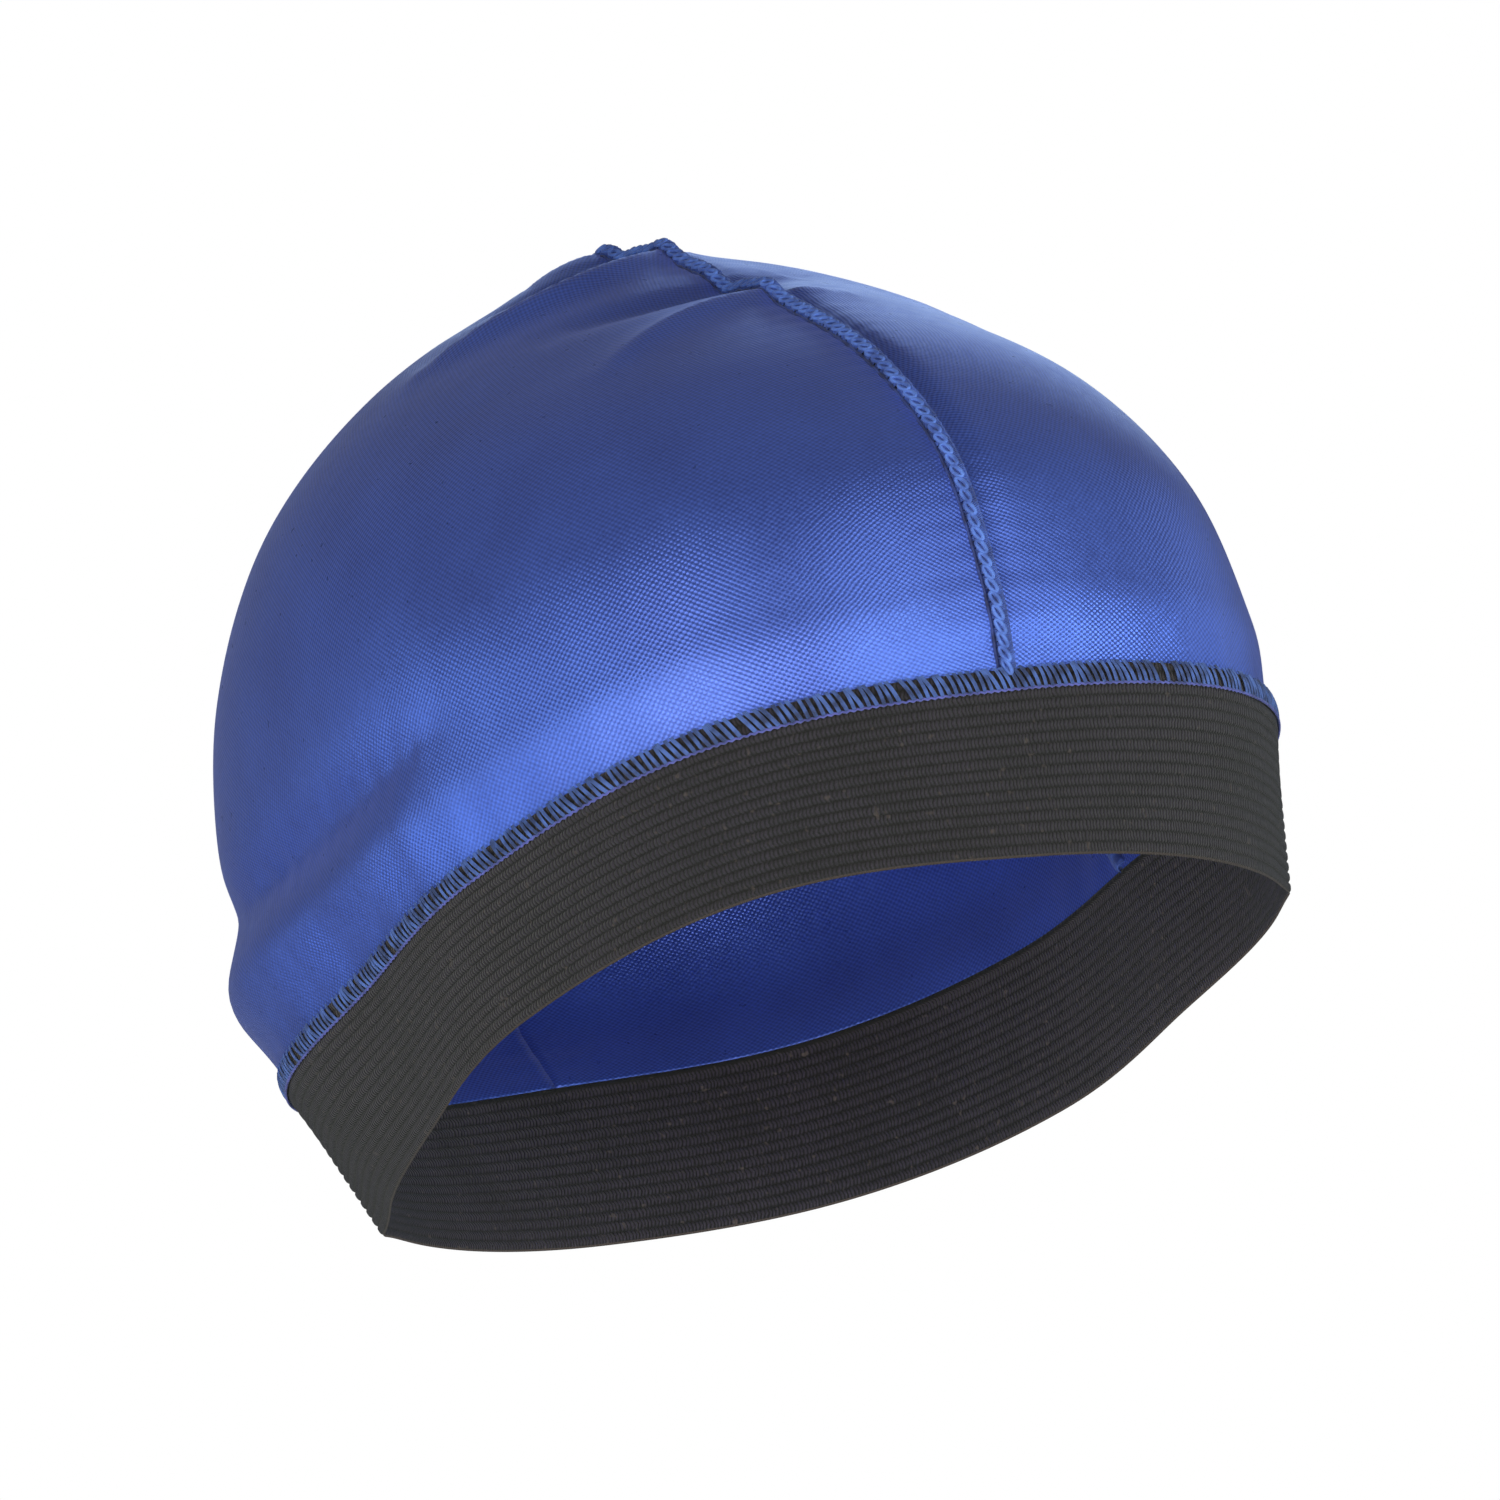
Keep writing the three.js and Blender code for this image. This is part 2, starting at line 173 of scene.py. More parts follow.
def foldPath(places):
    ends = []
    for degrees, row in places:
        side, turn = halfAndTurn(degrees)
        ends.append(domePoints(side, turn, row, 0))
    a, b, c = ends
    t = np.linspace(0, 1, foldSteps + 1)[:, None]
    middle = 2 * b - (a + c) / 2   # so that the arc runs through the second place
    return a * (1 - t)**2 + 2 * middle * t * (1 - t) + c * t**2


def foldLift(points):
    flat = points.reshape(-1, 3)
    lift = np.zeros(len(flat))
    for *places, out, spread, power in folds.values():
        path = foldPath(places)
        gaps = np.linalg.norm(flat[:, None] - path[None], axis=2)
        place = np.clip(gaps.argmin(1) / foldSteps, foldEnd, 1 - foldEnd)
        lift += out * np.sqrt(np.sin(np.pi * place)) * np.exp(-(gaps.min(1) / spread)**power)
    return lift.reshape(points.shape[:-1])


# Small puckers that the sewing draws into the satin, in millimetres
puckers = {
    "seamDepth": 0.28,
    "seamLength": 7.0,
    "seamReach": 7.0,
    "bandDepth": 0.18,
    "bandLength": 12.0,
    "bandReach": 9.0,
    "bandClear": 3.0,       # they fade out again right at the band
    "valleyDepth": 1.3,     # a hollow along the crown seam, on the wearer's left of it
    "valleyAt": 3.4,
    "valleyReach": 2.4,
    "valleyHeight": 62.0,   # where it is deepest, and how far it runs up and down
    "valleyHalf": 34.0,
    "arcOfDegree": 1.55,    # millimetres round the cap in one degree
}


def puckerLift(points, heightAboveBand):
    p = puckers
    x, y, z = points[..., 0], points[..., 1], points[..., 2]
    along = y + 1.3 * z
    waves = np.sin(2 * np.pi * along / p["seamLength"] + 1.7 * np.sin(along / 11.0))   # uneven
    lift = -p["seamDepth"] * np.exp(-np.abs(x) / p["seamReach"]) * (0.6 + 0.4 * waves)
    fromValley = (x - p["valleyAt"]) / p["valleyReach"]
    middle = np.exp(-((z - p["valleyHeight"]) / p["valleyHalf"])**2)
    lift -= p["valleyDepth"] * np.exp(-fromValley**2) * middle
    arc = np.degrees(np.arctan2(y, x)) * p["arcOfDegree"]
    waves = np.sin(2 * np.pi * arc / p["bandLength"] + 2.1 * np.sin(arc / 17.0))
    nearBand = np.exp(-heightAboveBand / p["bandReach"])
    nearBand *= 1 - np.exp(-heightAboveBand / p["bandClear"])
    return lift + p["bandDepth"] * nearBand * waves


def loopOutward(degrees):
    before = loopPoints(degrees - 1, "top")
    after = loopPoints(degrees + 1, "top")
    out = np.stack([after[..., 1] - before[..., 1], before[..., 0] - after[..., 0],
                    np.zeros_like(before[..., 0])], -1)
    return unit(out)


# The satin steps in behind the elastic's upper edge, and swells out above it
satinInset = {
    "depth": 1.05,
    "fullBelow": 0.3,
    "goneAbove": 0.9,
    "rowsBehindBand": (0.12, 0.2, 0.3),     # where the elastic's lean is read
}


def insetOf(side, turn, row, edge):
    degrees = 90 - side * 180 * np.asarray(turn, float)
    start = domePoints(side, turn, 0.0, edge) - loopPoints(degrees, "top")
    start = (start * loopOutward(degrees)).sum(-1)
    s = satinInset
    return (s["depth"] + start) * (1 - easeBetween(row, s["fullBelow"], s["goneAbove"]))


def clothPoints(side, turn, row, edge, depth):
    points = domePoints(side, turn, row, edge)
    normals = domeNormals(side, turn, row, edge)
    lift = foldLift(points) - insetOf(side, turn, row, edge) - depth
    return points + normals * lift[..., None]


# How steeply the satin leans out just above the band, for each degree round
def leanAboveBand():
    lean = np.zeros(361)
    turn = np.arange(181) / 180
    for side in (-1, 1):
        degrees = np.rint(90 - side * 180 * turn).astype(int) % 360
        joint = loopPoints(degrees, "top")
        outward = loopOutward(degrees)
        for row in satinInset["rowsBehindBand"]:
            satin = clothPoints(side, turn, np.full(181, row), satinPanel["edge"], 0) - joint
            slope = ((satin * outward).sum(-1) + satinInset["depth"]) / satin[..., 2]
            lean[degrees] = np.maximum(lean[degrees], slope)
    lean[360] = lean[0]
    return lean


def metres(*lengths):
    return tuple(length * mm for length in lengths)


def newObject(name, data):
    thing = bpy.data.objects.new(name, data)
    bpy.context.scene.collection.objects.link(thing)
    return thing


def addObject(name, points, faces):
    mesh = bpy.data.meshes.new(name)
    mesh.from_pydata([tuple(p) for p in points * mm], [], faces)
    mesh.update()
    return newObject(name, mesh)


# closed joins the last column to the first, and ringed the last row to the first
def gridFaces(rows, columns, closed=False, ringed=False, flip=False):
    faces = []
    for row in range(rows if ringed else rows - 1):
        nextRow = (row + 1) % rows
        for column in range(columns if closed else columns - 1):
            after = (column + 1) % columns
            face = (row * columns + column, row * columns + after,
                    nextRow * columns + after, nextRow * columns + column)
            faces.append(face[::-1] if flip else face)
    return faces


def setUv(thing, name, cornerUv):
    layer = thing.data.uv_layers.new(name=name)
    layer.data.foreach_set("uv", np.asarray(cornerUv, float).ravel())


def applyModifiers(thing):
    bpy.context.view_layer.update()
    evaluated = thing.evaluated_get(bpy.context.evaluated_depsgraph_get())
    mesh = bpy.data.meshes.new_from_object(evaluated)
    mesh.name = thing.name
    thing.modifiers.clear()
    thing.data = mesh


def shadeSmooth(thing):
    for polygon in thing.data.polygons:
        polygon.use_smooth = True


# A tree with these inputs, and a material as its last one
def newTree(name, inputs):
    tree = bpy.data.node_groups.new(name, "GeometryNodeTree")
    kinds = {float: "Float", int: "Int", tuple: "Vector"}

    def addSocket(label, kind, side="INPUT"):
        return tree.interface.new_socket(label, in_out=side, socket_type="NodeSocket" + kind)

    addSocket("Geometry", "Geometry")
    addSocket("Geometry", "Geometry", "OUTPUT")
    for label, value in inputs.items():
        addSocket(label, kinds[type(value)]).default_value = value
    addSocket("Material", "Material")
    return tree, addNode(tree, "NodeGroupInput").outputs


def addNode(tree, kind, **settings):
    node = tree.nodes.new(kind)
    for key, value in settings.items():
        setattr(node, key, value)
    return node


# Each value goes into the node's input of that name or number; a socket is linked
def feed(tree, node, values):
    for key, value in values.items():
        if isinstance(value, bpy.types.NodeSocket):
            tree.links.new(value, node.inputs[key])
        else:
            node.inputs[key].default_value = value
    return node


def mathNode(tree, operation, *values):
    node = addNode(tree, "ShaderNodeMath", operation=operation)
    return feed(tree, node, dict(enumerate(values))).outputs[0]


def sineOf(tree, value, rate):
    return mathNode(tree, "SINE", mathNode(tree, "MULTIPLY", value, rate))


def scaleVector(tree, vector, factor):
    node = addNode(tree, "ShaderNodeVectorMath", operation="SCALE")
    return feed(tree, node, {0: vector, "Scale": factor}).outputs[0]


def attributeNode(tree, name, kind):
    node = addNode(tree, "GeometryNodeInputNamedAttribute", data_type=kind)
    return feed(tree, node, {"Name": name}).outputs["Attribute"]


def finishTree(tree, geometry, material):
    real = feed(tree, addNode(tree, "GeometryNodeRealizeInstances"), {"Geometry": geometry})
    smooth = feed(tree, addNode(tree, "GeometryNodeSetShadeSmooth"), {"Geometry": real.outputs[0]})
    painted = feed(tree, addNode(tree, "GeometryNodeSetMaterial"),
                   {"Geometry": smooth.outputs[0], "Material": material})
    out = addNode(tree, "NodeGroupOutput")
    tree.links.new(painted.outputs[0], out.inputs[0])


def runTree(thing, tree, inputs):
    modifier = thing.modifiers.new(tree.name, "NODES")
    modifier.node_group = tree
    for item in tree.interface.items_tree:
        if item.in_out == "INPUT" and item.name in inputs:
            modifier[item.identifier] = inputs[item.name]
    applyModifiers(thing)


# The path as a curve with a point at each step
def pathSteps(tree, path, length):
    curve = feed(tree, addNode(tree, "GeometryNodeMeshToCurve"), {"Mesh": path})
    steps = addNode(tree, "GeometryNodeResampleCurve", mode="LENGTH")
    return feed(tree, steps, {"Curve": curve.outputs[0], "Length": length}).outputs[0]


# A six-sided thread along a curve
def threadAlong(tree, curve, radius):
    ring = feed(tree, addNode(tree, "GeometryNodeCurvePrimitiveCircle"),
                {"Resolution": 6, "Radius": radius})
    thread = feed(tree, addNode(tree, "GeometryNodeCurveToMesh"),
                  {"Curve": curve, "Profile Curve": ring.outputs[0], "Fill Caps": True})
    return thread.outputs[0]


def randomNumber(tree, low, high, seed):
    node = addNode(tree, "FunctionNodeRandomValue", data_type="FLOAT")
    return feed(tree, node, {"Min": low, "Max": high, "Seed": seed}).outputs[1]


# Turns X along the path and Z to its outward side, and swings each step a little about Z
def turnAtStep(tree, jitter, seed):
    outward = attributeNode(tree, "outward", "FLOAT_VECTOR")
    tangent = addNode(tree, "GeometryNodeInputTangent").outputs[0]
    upright = feed(tree, addNode(tree, "FunctionNodeAxesToRotation", primary_axis="Z",
                                 secondary_axis="X"), {0: outward, 1: tangent})
    swing = randomNumber(tree, mathNode(tree, "MULTIPLY", jitter, -1.0), jitter, seed)
    tilt = feed(tree, addNode(tree, "ShaderNodeCombineXYZ"), {"Z": swing})
    turned = feed(tree, addNode(tree, "FunctionNodeRotateRotation", rotation_space="LOCAL"),
                  {0: upright.outputs[0], 1: tilt.outputs[0]})
    return turned.outputs[0]


# Three strands of bent thread at each step along a path, standing on its outward side
def threadRowTree():
    tree, given = newTree("thread row", {
        "Pitch": 0.0015, "Start": (0.0, 0.0, 0.0), "Bend": (0.0, 0.002, 0.001),
        "End": (0.0, 0.004, 0.0), "Thread": 0.0002, "Strand Gap": 0.0003, "Jitter": 0.1,
        "Kept": 0.95, "Shortest": 0.92, "Longest": 1.06, "Seed": 1,
    })
    steps = pathSteps(tree, given["Geometry"], given["Pitch"])
    bend = feed(tree, addNode(tree, "GeometryNodeCurveQuadraticBezier"),
                {"Resolution": 5, "Start": given["Start"], "Middle": given["Bend"],
                 "End": given["End"]})
    thread = threadAlong(tree, bend.outputs[0], given["Thread"])
    bundle = addNode(tree, "GeometryNodeJoinGeometry")
    for strand in (-1.0, 0.0, 1.0):
        gap = mathNode(tree, "MULTIPLY", given["Strand Gap"], strand)
        beside = feed(tree, addNode(tree, "ShaderNodeCombineXYZ"), {"X": gap})
        moved = feed(tree, addNode(tree, "GeometryNodeTransform"),
                     {"Geometry": thread, "Translation": beside.outputs[0]})
        tree.links.new(moved.outputs[0], bundle.inputs[0])
    keep = feed(tree, addNode(tree, "FunctionNodeRandomValue", data_type="BOOLEAN"),
                {"Probability": given["Kept"], "Seed": given["Seed"]})
    placed = feed(tree, addNode(tree, "GeometryNodeInstanceOnPoints"), {
        "Points": steps, "Selection": keep.outputs[3], "Instance": bundle.outputs[0],
        "Rotation": turnAtStep(tree, given["Jitter"], given["Seed"]),
        "Scale": randomNumber(tree, given["Shortest"], given["Longest"], given["Seed"]),
    })
    finishTree(tree, placed.outputs[0], given["Material"])
    return tree


# One closed loop of thread at each step along a path
def chainTree():
    tree, given = newTree("chain of loops", {
        "Pitch": 0.0027, "Loop Size": (0.001, 0.0007, 1.0), "Thread": 0.0002,
        "Offset": (0.0, 0.0, 0.0), "Tilt": (0.5, 0.0, 0.0), "Jitter": 0.2, "Seed": 1,
    })
    steps = pathSteps(tree, given["Geometry"], given["Pitch"])
    circle = feed(tree, addNode(tree, "GeometryNodeCurvePrimitiveCircle"),
                  {"Resolution": 14, "Radius": 1.0})
    oval = feed(tree, addNode(tree, "GeometryNodeTransform"),
                {"Geometry": circle.outputs[0], "Scale": given["Loop Size"]})
    leaning = feed(tree, addNode(tree, "GeometryNodeTransform"), {
        "Geometry": threadAlong(tree, oval.outputs[0], given["Thread"]),
        "Translation": given["Offset"], "Rotation": given["Tilt"],
    })
    placed = feed(tree, addNode(tree, "GeometryNodeInstanceOnPoints"), {
        "Points": steps, "Instance": leaning.outputs[0],
        "Rotation": turnAtStep(tree, given["Jitter"], given["Seed"]),
    })
    finishTree(tree, placed.outputs[0], given["Material"])
    return tree


# A thread that runs along a path in small waves, up and down
def wavyThreadTree():
    tree, given = newTree("wavy thread", {"Pitch": 0.0015, "Wave": 0.0002, "Thread": 0.0003})
    quarter = mathNode(tree, "DIVIDE", given["Pitch"], 4.0)
    steps = pathSteps(tree, given["Geometry"], quarter)
    index = addNode(tree, "GeometryNodeInputIndex").outputs[0]
    wave = mathNode(tree, "MULTIPLY", sineOf(tree, index, math.pi / 2), given["Wave"])
    shift = feed(tree, addNode(tree, "ShaderNodeCombineXYZ"), {"Z": wave})
    waved = feed(tree, addNode(tree, "GeometryNodeSetPosition"),
                 {"Geometry": steps, "Offset": shift.outputs[0]})
    finishTree(tree, threadAlong(tree, waved.outputs[0], given["Thread"]), given["Material"])
    return tree


# Rounded ribs with narrow grooves between them, pressed into a plain strip
def ribTree():
    tree, given = newTree("lengthwise ribs",
                          {"Rib Count": 15, "Groove Depth": 0.0005, "Roundness": 0.35})
    place = attributeNode(tree, "ribPlace", "FLOAT")
    amount = attributeNode(tree, "ribAmount", "FLOAT")
    rib = mathNode(tree, "MULTIPLY", place, given["Rib Count"])
    swell = mathNode(tree, "ABSOLUTE", sineOf(tree, rib, math.pi))
    profile = mathNode(tree, "POWER", swell, given["Roundness"])
    depth = mathNode(tree, "MULTIPLY", mathNode(tree, "SUBTRACT", profile, 1.0),
                     given["Groove Depth"])
    depth = mathNode(tree, "MULTIPLY", depth, amount)
    normal = addNode(tree, "GeometryNodeInputNormal").outputs[0]
    pressed = feed(tree, addNode(tree, "GeometryNodeSetPosition"),
                   {"Geometry": given["Geometry"], "Offset": scaleVector(tree, normal, depth)})
    finishTree(tree, pressed.outputs[0], given["Material"])
    return tree


# Materials
def newMaterial(name, baseColor, roughness):
    material = bpy.data.materials.new(name)
    material.use_nodes = True
    shader = material.node_tree.nodes["Principled BSDF"]
    shader.inputs["Base Color"].default_value = (*baseColor, 1)
    shader.inputs["Roughness"].default_value = roughness
    material.diffuse_color = (*baseColor, 1)
    return material, material.node_tree, shader


def mixColor(tree, factor, first, second):
    node = addNode(tree, "ShaderNodeMix", data_type="RGBA")
    feed(tree, node, {"Factor": factor})
    for socket, value in ((node.inputs[6], first), (node.inputs[7], second)):   # its two colours
        if isinstance(value, bpy.types.NodeSocket):
            tree.links.new(value, socket)
        else:
            socket.default_value = (*value, 1)
    return node.outputs[2]


def spread(tree, value, low, high, newLow, newHigh):
    node = addNode(tree, "ShaderNodeMapRange")
    feed(tree, node, {"Value": value, "From Min": low, "From Max": high,
                      "To Min": newLow, "To Max": newHigh})
    return node.outputs[0]


def noise(tree, coordinates, scale, detail=3.0):
    node = addNode(tree, "ShaderNodeTexNoise")
    feed(tree, node, {"Vector": coordinates, "Scale": scale, "Detail": detail})
    return node.outputs[0]


def bumpInto(tree, shader, height, strength, distance):
    node = addNode(tree, "ShaderNodeBump")
    feed(tree, node, {"Height": height, "Strength": strength, "Distance": distance})
    tree.links.new(node.outputs[0], shader.inputs["Normal"])


def setColor(shader, name, color):
    shader.inputs[name].default_value = (*color, 1)


satinLook = {
    "deep": (0.040, 0.062, 0.300),
    "bright": (0.126, 0.240, 0.950),
    "metallic": 0.6,
    "roughness": 0.31,
    "specularTint": (0.62, 0.72, 1.0),
    "anisotropy": 0.35,
    "sheen": 0.35,
    "sheenRoughness": 0.5,
    "sheenTint": (0.45, 0.52, 1.0),
    "weavePitch": 0.107,    # centimetres from dot to dot of the lattice
    "weaveWobble": 0.06,
    "weaveBump": 0.35,
    "slubScale": 420.0,
    "slubBump": 0.5,
    "mottleScale": 55.0,
    "patchScale": 13.0,
}


def satinMaterial():
    look = satinLook
    material, tree, shader = newMaterial("royal blue satin", look["bright"], look["roughness"])
    cloth = addNode(tree, "ShaderNodeUVMap", uv_map="cloth").outputs[0]
    objectPlace = addNode(tree, "ShaderNodeTexCoord").outputs["Object"]
    split = feed(tree, addNode(tree, "ShaderNodeSeparateXYZ"), {0: cloth}).outputs
    rate = 2 * math.pi / look["weavePitch"]
    wobble = mathNode(tree, "MULTIPLY", noise(tree, cloth, 3.0), look["weaveWobble"])
    across = sineOf(tree, mathNode(tree, "ADD", split["X"], wobble), rate)
    upward = sineOf(tree, mathNode(tree, "SUBTRACT", split["Y"], wobble), rate)
    lattice = mathNode(tree, "MULTIPLY", across, upward)   # dots in diagonal rows
    slub = noise(tree, objectPlace, look["slubScale"], 2.0)
    grain = mathNode(tree, "ADD", lattice, mathNode(tree, "MULTIPLY", slub, look["slubBump"]))
    bumpInto(tree, shader, grain, look["weaveBump"], 0.0001)
    mottle = noise(tree, objectPlace, look["mottleScale"], 4.0)
    patches = noise(tree, cloth, look["patchScale"], 1.0)
    shade = mathNode(tree, "ADD", spread(tree, lattice, -1.0, 1.0, 0.12, 0.62),
                     spread(tree, mottle, 0.3, 0.7, -0.06, 0.1))
    shade = mathNode(tree, "ADD", shade, spread(tree, patches, 0.3, 0.7, -0.04, 0.08))
    tree.links.new(mixColor(tree, shade, look["deep"], look["bright"]),
                   shader.inputs["Base Color"])
    roughness = spread(tree, slub, 0.2, 0.8, look["roughness"] - 0.05, look["roughness"] + 0.07)
    tree.links.new(roughness, shader.inputs["Roughness"])
    shader.inputs["Metallic"].default_value = look["metallic"]
    setColor(shader, "Specular Tint", look["specularTint"])
    shader.inputs["Anisotropic"].default_value = look["anisotropy"]
    shader.inputs["Sheen Weight"].default_value = look["sheen"]
    shader.inputs["Sheen Roughness"].default_value = look["sheenRoughness"]
    setColor(shader, "Sheen Tint", look["sheenTint"])
    return material


# Each thread's deep and bright colour
threadColors = {
    "overlock thread": [(0.008, 0.017, 0.07), (0.068, 0.14, 0.46)],
    # crown seam: deepened blue as painted shade seen in the chain loops' centres; chain stitch: paler
    # blue as painted highlight on the loops
    "crown seam shaded thread": [(0.012, 0.030, 0.18), (0.05, 0.11, 0.48)],
    "chain stitch highlight thread": [(0.03, 0.07, 0.32), (0.10, 0.21, 0.70)],
    "violet edge thread": [(0.03, 0.035, 0.16), (0.09, 0.10, 0.42)],
    # needle line: near-black navy, partly the needle thread and partly painted shadow of the ridge
    # beside it
    "needle line shadow thread": [(0.008, 0.012, 0.06), (0.025, 0.05, 0.24)],
}
threadLook = {
    "roughness": 0.7,
    "twistScale": 2600.0,
    "patchScale": 420.0,
    "bump": 0.4,
    "sheen": 0.3,
    "sheenTint": (0.6, 0.7, 1.0),
}


def threadMaterial(name):
    look = threadLook
    deep, bright = threadColors[name]
    material, tree, shader = newMaterial(name, bright, look["roughness"])
    place = addNode(tree, "ShaderNodeTexCoord").outputs["Object"]
    twist = noise(tree, place, look["twistScale"], 1.0)
    patch = spread(tree, noise(tree, place, look["patchScale"], 2.0), 0.35, 0.65, 0.0, 0.9)
    shade = mathNode(tree, "ADD", mathNode(tree, "MULTIPLY", twist, 0.3), patch)
    tree.links.new(mixColor(tree, shade, deep, bright), shader.inputs["Base Color"])
    tree.links.new(spread(tree, twist, 0.2, 0.8, 0.6, 0.85), shader.inputs["Roughness"])
    shader.inputs["Sheen Weight"].default_value = look["sheen"]
    setColor(shader, "Sheen Tint", look["sheenTint"])
    bumpInto(tree, shader, twist, look["bump"], 0.0001)
    return material


elasticLook = {
    # painted shade: the near-black colour painted into the grooves between the ribs and between the
    # knitted loops
    "grooveShade": (0.0012, 0.0012, 0.0018),
    "yarn": (0.0215, 0.0172, 0.0282),
    "fleck": (0.060, 0.046, 0.044),
    # painted highlight: the warm, paler colour at the band's free edge, for the backdrop's light
    # coming round the rim
    "edge": (0.040, 0.028, 0.026),
    "roughness": 0.85,
    "sheen": 0.1,
    "bump": 0.8,
    "insidePaintedLight": 1.7,      # painted light: the inside is painted paler to make up for the lamp light it lacks
    "ribCount": 15,
    "loopPitch": 0.068,     # centimetres between two knitted loops
    "ribShift": 0.37,       # how far each rib's loops stand on from the last one's, in loops
    "loopSlant": 0.7,
    "unevenness": 1.6,
    "fuzz": 0.95,
}


def elasticMaterial():
    look = elasticLook
    material, tree, shader = newMaterial("black ribbed elastic", look["yarn"], look["roughness"])
    strip = addNode(tree, "ShaderNodeUVMap", uv_map="strip").outputs[0]
    place = addNode(tree, "ShaderNodeTexCoord").outputs["Object"]
    split = feed(tree, addNode(tree, "ShaderNodeSeparateXYZ"), {0: strip}).outputs
    rib = mathNode(tree, "MULTIPLY", split["Y"], float(look["ribCount"]))
    ribSwell = mathNode(tree, "ABSOLUTE", sineOf(tree, rib, math.pi))
    shift = mathNode(tree, "MULTIPLY", mathNode(tree, "FLOOR", rib), look["ribShift"])
    chevron = mathNode(tree, "PINGPONG", mathNode(tree, "FRACT", rib), 0.5)
    slant = mathNode(tree, "MULTIPLY", chevron, look["loopSlant"])
    along = mathNode(tree, "DIVIDE", split["X"], look["loopPitch"])
    along = mathNode(tree, "ADD", mathNode(tree, "ADD", along, shift), slant)
    uneven = mathNode(tree, "MULTIPLY", noise(tree, place, 260.0, 2.0), look["unevenness"])
    along = mathNode(tree, "ADD", along, uneven)
    loops = mathNode(tree, "ABSOLUTE", sineOf(tree, along, math.pi))
    fuzz = mathNode(tree, "MULTIPLY", noise(tree, place, 1500.0, 2.0), look["fuzz"])
    height = mathNode(tree, "MULTIPLY", loops, mathNode(tree, "POWER", ribSwell, 0.6))
    height = mathNode(tree, "ADD", height, fuzz)
    bumpInto(tree, shader, height, look["bump"], 0.0004)
    patches = spread(tree, noise(tree, place, 90.0, 3.0), 0.3, 0.7, 0.6, 1.1)
    # Painted shade: where the knit lies low, between ribs and loops, the colour goes to near black,
    # broken up by random patches
    lit = mathNode(tree, "MULTIPLY", spread(tree, height, 0.62, 1.4, 0.0, 1.3), patches)
    color = mixColor(tree, lit, look["grooveShade"], look["yarn"])
    flecks = spread(tree, noise(tree, place, 700.0, 1.0), 0.68, 0.78, 0.0, 0.7)
    color = mixColor(tree, flecks, color, look["fleck"])
    # Painted highlight: right at the strip's free edge the colour turns warmer and paler, for the
    # backdrop's light coming round the rim
    rimHighlight = spread(tree, split["Y"], 0.002, 0.006, 1.0, 0.0)
    color = mixColor(tree, rimHighlight, color, look["edge"])
    # Painted light: the inside's colour is raised here so that the shaded inside of the band looks as
    # bright as its outside
    inside = addNode(tree, "ShaderNodeAttribute", attribute_name="inside").outputs["Fac"]
    gain = spread(tree, inside, 0.0, 1.0, 1.0, look["insidePaintedLight"])
    tree.links.new(scaleVector(tree, color, gain), shader.inputs["Base Color"])
    shader.inputs["Sheen Weight"].default_value = look["sheen"]
    return material


# Satin panels
satinPanel = {
    "columns": 170,
    "rows": 140,
    "rowBunching": 0.04,    # brings the rows closer together at the band and at the crest
    "edge": 0.04,           # millimetres from the middle of the crown seam
    "thickness": 0.5,
    "mapCentre": 22.0,      # the weave is laid out as on a ball of this centre and radius
    "mapRadius": 9.2,       # in centimetres
}


# Flat places in centimetres, unrolled round the middle of the panel's side
def clothMap(points, side):
    away = unit(points - [0, 0, satinPanel["mapCentre"]])
    turned = np.arccos(np.clip(away[..., 0] * side, -1, 1))
    heading = np.arctan2(away[..., 2], away[..., 1] * side)
    reach = turned * satinPanel["mapRadius"]
    return np.stack([reach * np.cos(heading), reach * np.sin(heading)], -1)


def makePanel(name, side, material):
    p = satinPanel
    turn = np.linspace(0, 1, p["columns"] + 1)[None, :]
    part = np.linspace(0, 1, p["rows"] + 1)[:, None]
    row = topRow * (part + p["rowBunching"] * np.sin(2 * np.pi * part))
    points = clothPoints(side, turn, row, p["edge"], 0)
    normals = domeNormals(side, turn, row, p["edge"])
    points = points + normals * puckerLift(points, points[..., 2] - points[:1, :, 2])[..., None]
    points[:, 0, 0] = points[:, -1, 0] = points[-1, :, 0] = side * p["edge"]
    flat = points.reshape(-1, 3)
    panel = addObject(name, flat, gridFaces(p["rows"] + 1, p["columns"] + 1, flip=side > 0))
    places = clothMap(flat, side)
    corners = np.empty(len(panel.data.loops), int)
    panel.data.loops.foreach_get("vertex_index", corners)
    setUv(panel, "cloth", places[corners])
    panel.data.materials.append(material)
    thick = panel.modifiers.new("cloth thickness", "SOLIDIFY")
    thick.thickness = p["thickness"] * mm
    thick.offset = -1
    applyModifiers(panel)
    shadeSmooth(panel)
    return panel


# Elastic band
elasticBand = {
    "columns": 400,
    "rowsPerRib": 5,
    "width": 27.0,
    "tuck": 3.2,            # how far it runs up behind the overlock
    "tuckRows": 8,
    "tuckThickness": 0.6,
    "thickness": 1.2,
    "thinning": 0.5,        # the part of it that is lost towards the free edge
    "thinningRate": 9.0,    # a higher one keeps that closer to the edge
    "lipThickness": 1.8,    # at its sewn edge, where it covers the satin's raw edge
    "lipHeights": (0.5, -0.2),      # its top and bottom, from the line of the joint
    "edgeRound": 0.15,
    "ribDepth": 0.36,
    "insideRibs": 0.55,     # depth of the inside's ribs next to the outside's
    "insideTop": 0.985,     # where the inside's ribs end, just below the lip
}


